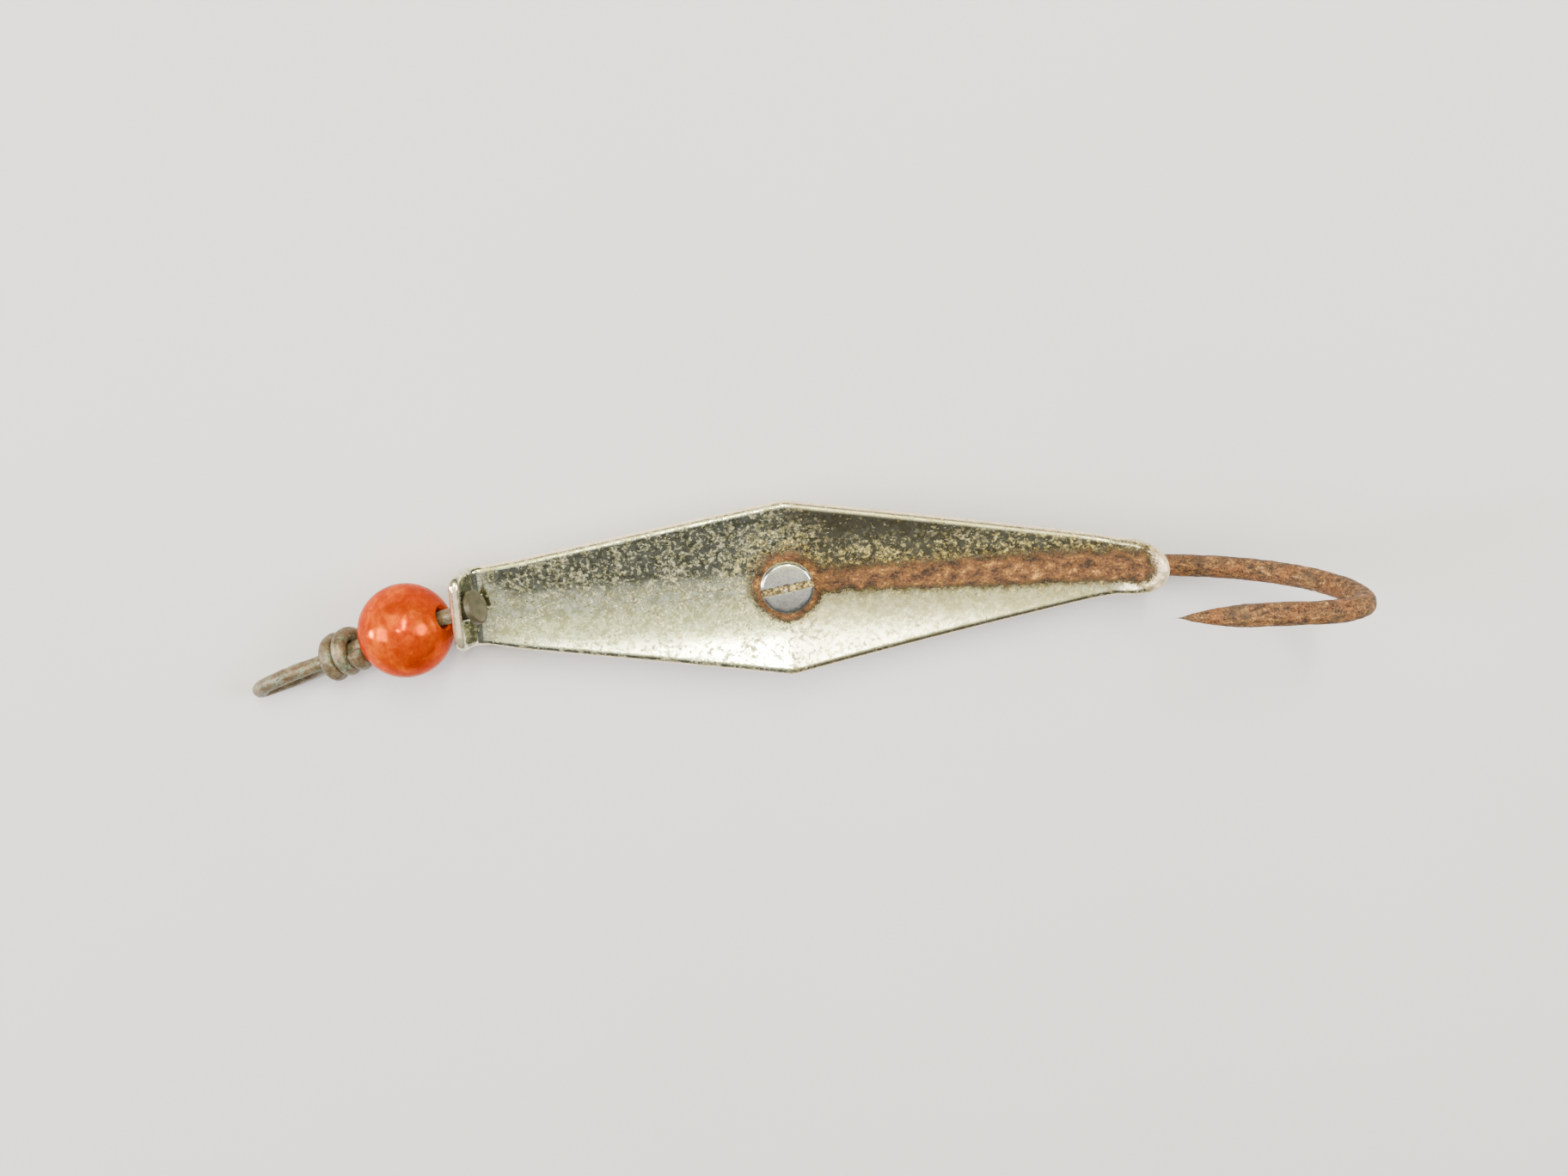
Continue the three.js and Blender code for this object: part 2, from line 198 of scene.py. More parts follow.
def new_mesh(name, points, faces, smooth=True):
    """A mesh object from points in millimetres."""
    mesh = bpy.data.meshes.new(name)
    mesh.from_pydata((np.asarray(points, float) * MM).tolist(), [], faces)
    mesh.validate()
    mesh.polygons.foreach_set("use_smooth", [smooth] * len(mesh.polygons))
    mesh.update()
    piece = bpy.data.objects.new(name, mesh)
    bpy.context.scene.collection.objects.link(piece)
    return piece


def grid_faces(rows, columns, wrap_rows=False, wrap_columns=False):
    """Four-sided faces over a grid of points, closed on itself where a wrap is asked for."""
    faces = []
    for i in range(rows if wrap_rows else rows - 1):
        for j in range(columns if wrap_columns else columns - 1):
            a = i * columns + j
            b = i * columns + (j + 1) % columns
            c = ((i + 1) % rows) * columns + (j + 1) % columns
            d = ((i + 1) % rows) * columns + j
            faces.append((a, b, c, d))
    return faces


def turned_points(profile, segments, centre=(0.0, 0.0)):
    """Rings of points from a profile of (radius, height) pairs; the first point is along +Y."""
    angles = np.linspace(0, 2 * math.pi, segments, endpoint=False) + math.pi / 2
    rings = []
    for radius, height in profile:
        ring = np.column_stack([centre[0] + radius * np.cos(angles),
                                centre[1] + radius * np.sin(angles),
                                np.full(segments, height)])
        rings.append(ring)
    return np.concatenate(rings)


def turned_ring(name, profile, segments, centre=(0.0, 0.0)):
    """A turned piece whose profile closes on itself, drawn anticlockwise."""
    points = turned_points(profile, segments, centre)
    return new_mesh(name, points, grid_faces(len(profile), segments, True, True))


def turned_solid(name, profile, segments, centre=(0.0, 0.0)):
    """A turned piece whose profile runs up from the axis and back to it."""
    points = turned_points(profile[1:-1], segments, centre)
    rows = len(profile) - 2
    faces = grid_faces(rows, segments, False, True)
    low, high = len(points), len(points) + 1
    ends = [[centre[0], centre[1], profile[0][1]], [centre[0], centre[1], profile[-1][1]]]
    last = (rows - 1) * segments
    for j in range(segments):
        faces.append((low, (j + 1) % segments, j))
        faces.append((high, last + j, last + (j + 1) % segments))
    return new_mesh(name, np.vstack([points, ends]), faces)


def rounded_profile(corners, radius, steps=4):
    """A profile with each inner corner eased by an arc-like run of points."""
    eased = [corners[0]]
    for before, corner, after in zip(corners, corners[1:], corners[2:]):
        corner = np.array(corner, float)
        towards = np.array(before, float) - corner
        away = np.array(after, float) - corner
        reach = min(radius, np.linalg.norm(towards) / 2.2, np.linalg.norm(away) / 2.2)
        start = corner + towards / np.linalg.norm(towards) * reach
        end = corner + away / np.linalg.norm(away) * reach
        for k in range(steps + 1):
            t = k / steps
            spot = (1 - t) ** 2 * start + 2 * t * (1 - t) * corner + t ** 2 * end
            eased.append(tuple(spot))
    eased.append(corners[-1])
    return eased


def catmull_rom(points, per_span):
    """A centripetal Catmull-Rom line through the points, with per_span steps between each two."""
    points = np.asarray(points, float)
    points = np.vstack([2 * points[0] - points[1], points, 2 * points[-1] - points[-2]])
    line = []
    for p0, p1, p2, p3 in zip(points, points[1:], points[2:], points[3:]):
        t0 = 0.0
        t1 = t0 + np.linalg.norm(p1 - p0) ** 0.5
        t2 = t1 + np.linalg.norm(p2 - p1) ** 0.5
        t3 = t2 + np.linalg.norm(p3 - p2) ** 0.5
        for t in np.linspace(t1, t2, per_span, endpoint=False):
            a1 = (t1 - t) / (t1 - t0) * p0 + (t - t0) / (t1 - t0) * p1
            a2 = (t2 - t) / (t2 - t1) * p1 + (t - t1) / (t2 - t1) * p2
            a3 = (t3 - t) / (t3 - t2) * p2 + (t - t2) / (t3 - t2) * p3
            b1 = (t2 - t) / (t2 - t0) * a1 + (t - t0) / (t2 - t0) * a2
            b2 = (t3 - t) / (t3 - t1) * a2 + (t - t1) / (t3 - t1) * a3
            line.append((t2 - t) / (t2 - t1) * b1 + (t - t1) / (t2 - t1) * b2)
    line.append(points[-2])
    return np.array(line)


def evenly(line, step):
    """The line with its points a step apart, and each point's distance along it."""
    lengths = np.concatenate([[0], np.cumsum(np.linalg.norm(np.diff(line, axis=0), axis=1))])
    marks = np.linspace(0, lengths[-1], int(lengths[-1] / step) + 1)
    return np.column_stack([np.interp(marks, lengths, line[:, k]) for k in range(3)]), marks


def carried_frames(line):
    """Tangent, normal and binormal along a line, with no twist between steps."""
    tangents = np.gradient(line, axis=0)
    tangents /= np.linalg.norm(tangents, axis=1)[:, None]
    helper = np.array([0, 0, 1.0]) if abs(tangents[0][2]) < 0.9 else np.array([1.0, 0, 0])
    normal = np.cross(helper, tangents[0])
    normals = []
    for tangent in tangents:
        normal = normal - np.dot(normal, tangent) * tangent
        normal = normal / np.linalg.norm(normal)
        normals.append(normal)
    normals = np.array(normals)
    return tangents, normals, np.cross(tangents, normals)


def smooth_noise(points, scale, seed):
    """A gentle, seeded lump field between about -1 and 1, made of turned sine waves."""
    rng = np.random.default_rng(seed)
    total = np.zeros(len(points))
    for _ in range(9):
        way = rng.normal(size=3)
        way /= np.linalg.norm(way)
        total += np.sin(points @ way * rng.uniform(0.6, 1.6) / scale + rng.uniform(0, 6.28))
    return total / 3.6  # brings most of nine such waves to within 1


def wire_piece(name, line, radii, sides, pitting, seed):
    """A closed wire of round section with domed ends and a pitted skin."""
    _, normals, binormals = carried_frames(line)
    angles = np.linspace(0, 2 * math.pi, sides, endpoint=False)
    ring = (normals[:, None, :] * np.cos(angles)[None, :, None]
            + binormals[:, None, :] * np.sin(angles)[None, :, None])
    base = line[:, None, :] + ring * radii[:, None, None]
    flat = base.reshape(-1, 3)
    lumps = 0.6 * smooth_noise(flat, 0.35, seed) + 0.4 * smooth_noise(flat, 0.13, seed + 1)
    lumps = np.minimum(lumps, 0.4) * pitting  # low peaks and deep pits keep the wire's thickness
    points = (base + ring * lumps.reshape(len(line), sides)[..., None]).reshape(-1, 3)
    rows = len(line)
    faces = [tuple(reversed(f)) for f in grid_faces(rows, sides, False, True)]
    start, end = len(points), len(points) + 1
    last = (rows - 1) * sides
    for j in range(sides):
        k = (j + 1) % sides
        faces.append((start, j, k))
        faces.append((end, last + k, last + j))
    return new_mesh(name, np.vstack([points, line[0], line[-1]]), faces)


def combine(piece, operation, *others):
    """Cuts, joins or intersects the piece with the others, and deletes them."""
    for other in others:
        step = piece.modifiers.new("combine", "BOOLEAN")
        step.operation = operation
        step.solver = "EXACT"
        step.object = other
        apply_modifiers(piece)
        bpy.data.objects.remove(other)
    return piece


def apply_modifiers(piece):
    """Writes the result of the modifiers into the piece's own mesh."""
    bpy.context.view_layer.update()
    graph = bpy.context.evaluated_depsgraph_get()
    made = bpy.data.meshes.new_from_object(piece.evaluated_get(graph), depsgraph=graph)
    piece.modifiers.clear()
    piece.data = made


def ease_edges(piece, width, angle):
    """Rounds every edge that turns by more than the angle."""
    step = piece.modifiers.new("ease", "BEVEL")
    step.width = width * MM
    step.segments = 2
    step.limit_method = "ANGLE"
    step.angle_limit = math.radians(angle)
    apply_modifiers(piece)


def sharp_by_angle(piece, degrees):
    """Smooth shading with hard edges kept where the surface turns sharply."""
    piece.data.set_sharp_from_angle(angle=math.radians(degrees))
    return piece


# ---------------------------------------------------------------- the plate

def spine(s):
    """Middle line of the plate: x, z and lean at s, which runs from the screw to the tail."""
    way = 1 if s > 0 else -1
    x, z, lean = AXIS[0], PLATE_MIDDLE, 0.0
    left = abs(s)
    for length, radius in (TAIL_ARCS if s > 0 else HEAD_ARCS):
        step = min(length, left)
        bend = step / radius
        chord = 2 * radius * math.sin(bend / 2)
        x += way * chord * math.cos(lean + bend / 2)
        z += chord * math.sin(lean + bend / 2)
        lean += bend
        left -= step
    return x, z, -way * lean


def side_shift(s):
    """The head was cut a little off the plate's middle line."""
    return HEAD_SHIFT * max(0.0, -s - HEAD_SHIFT_START) / (-HEAD_END - HEAD_SHIFT_START)


def half_width(s):
    """Half the plate's width at s: a lozenge with a round tail and a squared head."""
    if s > TAIL_TAPER_END:
        along = min(1.0, (s - TAIL_TAPER_END) / (TAIL_LENGTH - TAIL_TAPER_END))
        return max(0.02, TAIL_HALF_WIDTH * math.sqrt(max(0.0, 1 - along ** TAIL_ROUNDNESS)))
    if s > 0:
        return HALF_WIDTH + (TAIL_HALF_WIDTH - HALF_WIDTH) * s / TAIL_TAPER_END
    if s > -BEND_START:
        return HALF_WIDTH + (BEND_HALF_WIDTH - HALF_WIDTH) * -s / BEND_START
    past = (-BEND_START - s) / (-BEND_START - HEAD_END)
    side = BEND_HALF_WIDTH + (HEAD_HALF_WIDTH - BEND_HALF_WIDTH) * past
    corner = min(HEAD_CORNER_RADIUS, max(0.0, HEAD_CORNER_RADIUS - (s - HEAD_END)))
    return side - HEAD_CORNER_RADIUS + math.sqrt(HEAD_CORNER_RADIUS ** 2 - corner ** 2)


def eased_half_width(s):
    """The half width with the point of the lozenge taken off by a small radius."""
    if abs(s) >= 2:
        return half_width(s)
    return sum(half_width(s + shift) for shift in (-0.5, -0.25, 0.0, 0.25, 0.5)) / 5


def dish_depth(s):
    """The share of the dish at s: whole along the plate, none in the turned-up head."""
    share = (s + BEND_START + BEND_ARC) / (BEND_ARC + 4)
    share = min(1.0, max(0.0, share))
    return share * share * (3 - 2 * share)


def plate_stations():
    """Where the plate's rows of points lie, closer together at its two ends."""
    clustered = 1 - (1 - np.linspace(0, 1, 26)) ** 1.8
    head = HEAD_END + 1.6 * clustered
    tail = TAIL_LENGTH - 2.2 * clustered[::-1]
    middle = np.arange(HEAD_END + 1.75, TAIL_LENGTH - 2.3, PLATE_STEP)
    return np.concatenate([head, middle, tail])


def distance_to_outline(spots, outline):
    """Shortest distance from each flat (s, y) spot to the outline."""
    best = np.full(len(spots), np.inf)
    for start, end in zip(outline, outline[1:]):
        way = end - start
        along = np.clip(((spots - start) @ way) / max(way @ way, 1e-12), 0, 1)
        gap = np.linalg.norm(spots - start - along[:, None] * way, axis=1)
        best = np.minimum(best, gap)
    return best


def plate_sheet(offset_sign, stations, across, insets):
    """One face of the plate as rows of points, eased towards its rim."""
    rows = []
    for i, s in enumerate(stations):
        x, z, lean = spine(s)
        width = eased_half_width(s)
        for j, v in enumerate(across):
            y = v * width
            slope = dish_depth(s) * y / DISH_RADIUS
            inward = np.array([math.sin(lean), 0, math.cos(lean)])
            point = np.array([x, y + AXIS[1] + side_shift(s), z]) + inward * slope * y / 2
            normal = inward + np.array([0, -slope, 0])
            normal /= np.linalg.norm(normal)
            inset = min(insets[i, j], EDGE_ROUND)
            fall = EDGE_ROUND - math.sqrt(EDGE_ROUND ** 2 - (EDGE_ROUND - inset) ** 2)
            rows.append(point + normal * offset_sign * (PLATE_THICKNESS / 2 - fall))
    return np.array(rows)


def rim_loop(rows, columns):
    """The numbers of the grid's outer points, in order round the grid."""
    loop = list(range(columns))
    loop += [i * columns + columns - 1 for i in range(1, rows)]
    loop += [(rows - 1) * columns + j for j in range(columns - 2, -1, -1)]
    loop += [i * columns for i in range(rows - 2, 0, -1)]
    return loop


def plate_shell():
    """The plate with no holes: two faces joined round the rim."""
    stations = plate_stations()
    u = np.linspace(-1, 1, PLATE_COLUMNS)
    across = np.sign(u) * (1 - (1 - np.abs(u)) ** 1.7)
    widths = np.array([eased_half_width(s) for s in stations])
    upper = np.column_stack([stations, widths])
    outline = np.vstack([[stations[0], 0], upper, upper[::-1] * [1, -1], [stations[0], 0]])
    spots = np.column_stack([np.repeat(stations, len(across)), np.outer(widths, across).ravel()])
    insets = distance_to_outline(spots, outline).reshape(len(stations), len(across))
    top = plate_sheet(1, stations, across, insets)
    under = plate_sheet(-1, stations, across, insets)
    dents = smooth_noise(top, 5.0, 11) * DENT_DEPTH
    top[:, 2] += dents
    under[:, 2] += dents
    rows, columns = len(stations), len(across)
    count = rows * columns
    faces = [tuple(reversed(f)) for f in grid_faces(rows, columns)]
    faces += [tuple(k + count for k in f) for f in grid_faces(rows, columns)]
    rim = rim_loop(rows, columns)
    for a, b in zip(rim, rim[1:] + rim[:1]):
        faces.append((a, b, b + count, a + count))
    return new_mesh("plate_shell", np.vstack([top, under]), faces)


def round_cutter(radius, low, high, centre=(0.0, 0.0)):
    return turned_solid("cutter", [(0, low), (radius, low), (radius, high), (0, high)], 64, centre)


def make_plate():
    plate = plate_shell()
    hole = round_cutter(CLEAR_HOLE_RADIUS, 0, 20, AXIS)
    eye = round_cutter(HEAD_HOLE_RADIUS, -3.0, 3.0)
    eye.location = PIVOT * MM
    eye.rotation_euler = (0, HEAD_ANGLE, 0)
    combine(plate, "DIFFERENCE", hole, eye)
    store_rim(plate)
    return sharp_by_angle(plate, 40)


def store_rim(plate):
    """Marks how near each point is to the outline, so that the rim can be brighter: partly rubbed metal,
    partly a painted highlight.
    """
    mesh = plate.data
    places = np.zeros(len(mesh.vertices) * 3)
    mesh.vertices.foreach_get("co", places)
    points = places.reshape(-1, 3) / MM
    layer = mesh.attributes.new("rim", "FLOAT", "POINT")
    values = np.array([rim_share(p) for p in points], np.float32)
    layer.data.foreach_set("value", values)


def rim_share(point):
    """1 at the plate's outline, falling to 0 a little way in."""
    x, y, z = point - AXIS
    if point[0] < spine(-BEND_START)[0]:
        gap = min(spine(HEAD_END)[1] - z, HEAD_HALF_WIDTH + 0.3 - abs(y - HEAD_SHIFT))
        return float(np.clip(1 - gap / 0.5, 0, 1))
    gap = min(eased_half_width(min(x, TAIL_LENGTH - 0.01)) - abs(y), spine(TAIL_LENGTH)[0] - point[0])
    return float(np.clip(1 - gap / 0.4, 0, 1))


# ---------------------------------------------------------------- hook, fasteners, bead and wire

def hook_point(along, height):
    """A point in the hook's upright plane, which leans and turns a little."""
    rise = height + min(along, HOOK_BEND_START) ** 2 / (2 * SWEEP_RADIUS)
    side = -rise * math.sin(HOOK_LEAN)
    x = along * math.cos(HOOK_TURN) - side * math.sin(HOOK_TURN)
    y = along * math.sin(HOOK_TURN) + side * math.cos(HOOK_TURN)
    return AXIS + [x, y, HOOK_AXIS + rise * math.cos(HOOK_LEAN)]


def bezier(corners, count):
    """Points on a curve in the hook's plane, without its first."""
    a, b, c, d = (np.array(k, float) for k in corners)
    spots = []
    for t in np.linspace(0, 1, count + 1)[1:]:
        spot = (1 - t) ** 3 * a + 3 * t * (1 - t) ** 2 * b + 3 * t * t * (1 - t) * c + t ** 3 * d
        spots.append(hook_point(*spot))
    return spots


def hook_line():
    """The wire's middle line: ring, shank, rising bend, crown and point."""
    ring = []
    for i in range(RING_POINTS):
        angle = math.radians(RING_START_DEGREES + i * RING_STEP_DEGREES)
        ring.append(AXIS + [RING_RADIUS * math.cos(angle), RING_RADIUS * math.sin(angle), HOOK_AXIS])
    shank = [hook_point(along, 0) for along in (4.6, 6.5, 12, 20, 30, HOOK_BEND_START)]
    shank[0][1] -= 0.5
    rising = bezier([(HOOK_BEND_START, 0), (49.5, 1.0), (HOOK_REACH, 7.4),
                     (HOOK_REACH, HOOK_BELLY)], 8)
    crown = bezier([(HOOK_REACH, HOOK_BELLY), (HOOK_REACH, 16), (55.2, HOOK_THROAT),
                    (51.5, HOOK_THROAT)], 6)
    point = [hook_point(along, HOOK_THROAT) for along in (47, 42, HOOK_TIP)]
    return catmull_rom([*ring, *shank, *rising, *crown, *point], 24)


def make_hook():
    line, marks = evenly(hook_line(), HOOK_STEP)
    left = marks[-1] - marks
    share = np.clip(left / POINT_LENGTH, 0, 1)
    radii = np.maximum(0.05, HOOK_RADIUS * np.sin(share * math.pi / 2) ** 1.05)
    start = np.clip(marks / 0.35, 0, 1)
    radii = radii * np.sqrt(1 - (1 - start) ** 2 * 0.6)
    wire = wire_piece("hook_wire", line, radii - 0.02, 40, HOOK_PITTING, 21)
    return combine(wire, "UNION", barb_piece())


def barb_piece():
    """The barb, raised from the inside of the point."""
    root = hook_point(HOOK_TIP + BARB_FROM_TIP, HOOK_THROAT)
    shape = [(0, -0.1), (3.4, -0.2), (3.0, -BARB_DEPTH), (2.2, -1.0), (1.1, -0.45)]
    points = []
    for side in (-BARB_HALF_THICKNESS, BARB_HALF_THICKNESS):
        for a, h in shape:
            thin = 1 - 0.55 * min(1.0, -h / BARB_DEPTH)
            points.append(root + np.array([a, side * thin, h]))
    n = len(shape)
    faces = [tuple(range(n)), tuple(reversed(range(n, 2 * n)))]
    for i in range(n):
        k = (i + 1) % n
        faces.append((k, i, i + n, k + n))
    return new_mesh("barb", points, faces)


def screw_profile():
    """Half the screw's section: shank with thread ridges, then the domed head."""
    under = SCREW_TOP - SCREW_HEAD_HEIGHT
    crest = THREAD_RADIUS - 0.02
    root = crest - THREAD_DEPTH
    corners = [(0, SCREW_END), (root, SCREW_END)]
    for low in np.arange(0.25, WASHER_BASE + WASHER_HEIGHT, THREAD_PITCH):
        corners += [(root, low), (crest, low + 0.21), (crest, low + 0.29)]
    corners += [(crest, under), (SCREW_HEAD_RADIUS, under), (SCREW_HEAD_RADIUS, SCREW_TOP - 0.3),
                (SCREW_HEAD_RADIUS - 0.28, SCREW_TOP - 0.10)]
    for share in (0.75, 0.5, 0.25):
        corners.append((SCREW_HEAD_RADIUS * share, SCREW_TOP - SCREW_HEAD_DOME * share ** 2))
    corners.append((0, SCREW_TOP))
    return rounded_profile(corners, 0.09)


def make_screw():
    screw = turned_solid("screw_body", screw_profile(), 128, AXIS)
    bpy.ops.mesh.primitive_cube_add(size=1)
    slot = bpy.context.object
    slot.scale = Vector((4 * SCREW_HEAD_RADIUS, SLOT_WIDTH, 2 * SLOT_DEPTH)) * MM
    slot.rotation_euler = (0, 0, SLOT_TURN)
    slot.location = (AXIS + [0, 0, SCREW_TOP]) * MM
    combine(screw, "DIFFERENCE", slot)
    ease_edges(screw, 0.05, 50)
    return sharp_by_angle(screw, 40)


def make_washer():
    top = WASHER_BASE + WASHER_HEIGHT
    corners = [(CLEAR_HOLE_RADIUS, WASHER_BASE), (WASHER_RADIUS, WASHER_BASE),
               (WASHER_RADIUS, top), (CLEAR_HOLE_RADIUS, top)]
    loop = rounded_profile([corners[-1], *corners, corners[0]], 0.1)[1:-1]
    return sharp_by_angle(turned_ring("washer_ring", loop, 96, AXIS), 50)


def make_nut():
    """A hexagon with both faces chamfered and a bore with opened mouths."""
    corner = NUT_FLATS / math.sqrt(3)
    bore_radius = THREAD_RADIUS + 0.1
    hexagon = [(0, 0), (corner, 0), (corner, NUT_HEIGHT), (0, NUT_HEIGHT)]
    chamfered = [(0, -0.001), (corner - 0.3, -0.001), (corner + 0.02, NUT_CHAMFER),
                 (corner + 0.02, NUT_HEIGHT - NUT_CHAMFER), (corner - 0.3, NUT_HEIGHT + 0.001),
                 (0, NUT_HEIGHT + 0.001)]
    bore = [(0, -1), (NUT_MOUTH_RADIUS, -1), (bore_radius, 0.3), (bore_radius, NUT_HEIGHT - 0.3),
            (NUT_MOUTH_RADIUS, NUT_HEIGHT + 1), (0, NUT_HEIGHT + 1)]
    nut = turned_solid("nut_body", hexagon, 6, AXIS)
    combine(nut, "INTERSECT", turned_solid("chamfer", chamfered, 96, AXIS))
    combine(nut, "DIFFERENCE", turned_solid("cutter", bore, 64, AXIS))
    ease_edges(nut, 0.06, 30)
    return sharp_by_angle(nut, 30)


def link_point(along, side=0.0, height=0.0):
    """A point on the link: along runs out from the head hole, with a small bend past the bead."""
    out = max(0.0, along - KNEE_AT)
    if out > 0:
        c, n = math.cos(KNEE_TURN), math.sin(KNEE_TURN)
        along, side = KNEE_AT + out * c + side * n, side * c - out * n
    return PIVOT - LINK_AXIS * along + ACROSS * side + UPWARD * height


def loop_point(along, side, height):
    """A point on the line loop, which is twisted a little about the link."""
    c, n = math.cos(LOOP_TWIST), math.sin(LOOP_TWIST)
    return link_point(along, side * c + height * n, height * c - side * n)


def wrap_point(share):
    """A point on the turns wound back round the stem; share goes from 0 to 1."""
    angle = math.pi * (2 * WRAP_TURNS * share - 1)
    along = WRAP_FAR + (WRAP_NEAR - WRAP_FAR) * share
    return link_point(along, WRAP_RADIUS * math.sin(angle), WRAP_RADIUS * math.cos(angle))


def link_line():
    """The wire's middle line: stem, line loop, then the turns round the stem."""
    height = LOOP_HALF_HEIGHT
    stem = [link_point(along) for along in (-WIRE_HEAD_AT - 0.3, 2, 6, 11, 13, 16)]
    loop = [loop_point(18, 0, 0.45), loop_point(19.8, 0, 0.72 * height),
            loop_point(22.4, 0, height), loop_point(25.3, 0, 0.8 * height),
            loop_point(LOOP_FAR, 0, 0), loop_point(25.3, 0, -0.8 * height),
            loop_point(22.4, 0, -height), loop_point(19.6, 0.1, -0.86 * height)]
    wraps = [wrap_point(i / 25) for i in range(26)]
    return catmull_rom([*stem, *loop, *wraps], 16)


def make_link():
    line, marks = evenly(link_line(), LINK_STEP)
    left = marks[-1] - marks
    radii = WIRE_RADIUS * np.sqrt(1 - (1 - np.clip(left / 0.3, 0, 1)) ** 2 * 0.75)
    wire = wire_piece("link_body", line, radii - 0.01, 28, LINK_PITTING, 31)
    top = WIRE_HEAD_HEIGHT
    profile = rounded_profile([(0, 0), (WIRE_HEAD_RADIUS, 0), (WIRE_HEAD_RADIUS, top - 0.12),
                               (WIRE_HEAD_RADIUS - 0.15, top), (0, top + 0.02)], 0.12, 5)
    disc = turned_solid("disc", profile, 72)
    disc.location = (PIVOT + LINK_AXIS * WIRE_HEAD_AT) * MM
    disc.rotation_mode = "QUATERNION"
    disc.rotation_quaternion = Vector(LINK_AXIS).to_track_quat("Z", "Y")
    return sharp_by_angle(combine(wire, "UNION", disc), 45)


def make_bead():
    """A ball with an eased, round hole along the link."""
    mouth = BEAD_HOLE_RADIUS + BEAD_LIP
    start = math.asin(mouth / BEAD_RADIUS)
    profile = []
    for angle in np.linspace(start, math.pi - start, 90):
        profile.append((BEAD_RADIUS * math.sin(angle), -BEAD_RADIUS * math.cos(angle)))
    lip = BEAD_RADIUS * math.cos(start) - BEAD_LIP
    profile += [(BEAD_HOLE_RADIUS + 0.06, lip + 0.1), (BEAD_HOLE_RADIUS, lip), (BEAD_HOLE_RADIUS, 0)]
    profile += [(BEAD_HOLE_RADIUS, -lip), (BEAD_HOLE_RADIUS + 0.06, -lip - 0.1)]
    points = turned_points(profile, 128)
    way = Vector(LINK_AXIS).to_track_quat("Z", "Y").to_matrix()
    points = points @ np.array(way).T + link_point(BEAD_AT)
    return new_mesh("bead_ball", points, grid_faces(len(profile), 128, True, True))


# ---------------------------------------------------------------- materials

def linear(r, g, b):
    """A screen colour of 0 to 255 a channel as the shader's own numbers."""
    def one(c):
        c /= 255
        return c / 12.92 if c <= 0.04045 else ((c + 0.055) / 1.055) ** 2.4
    return one(r), one(g), one(b), 1.0


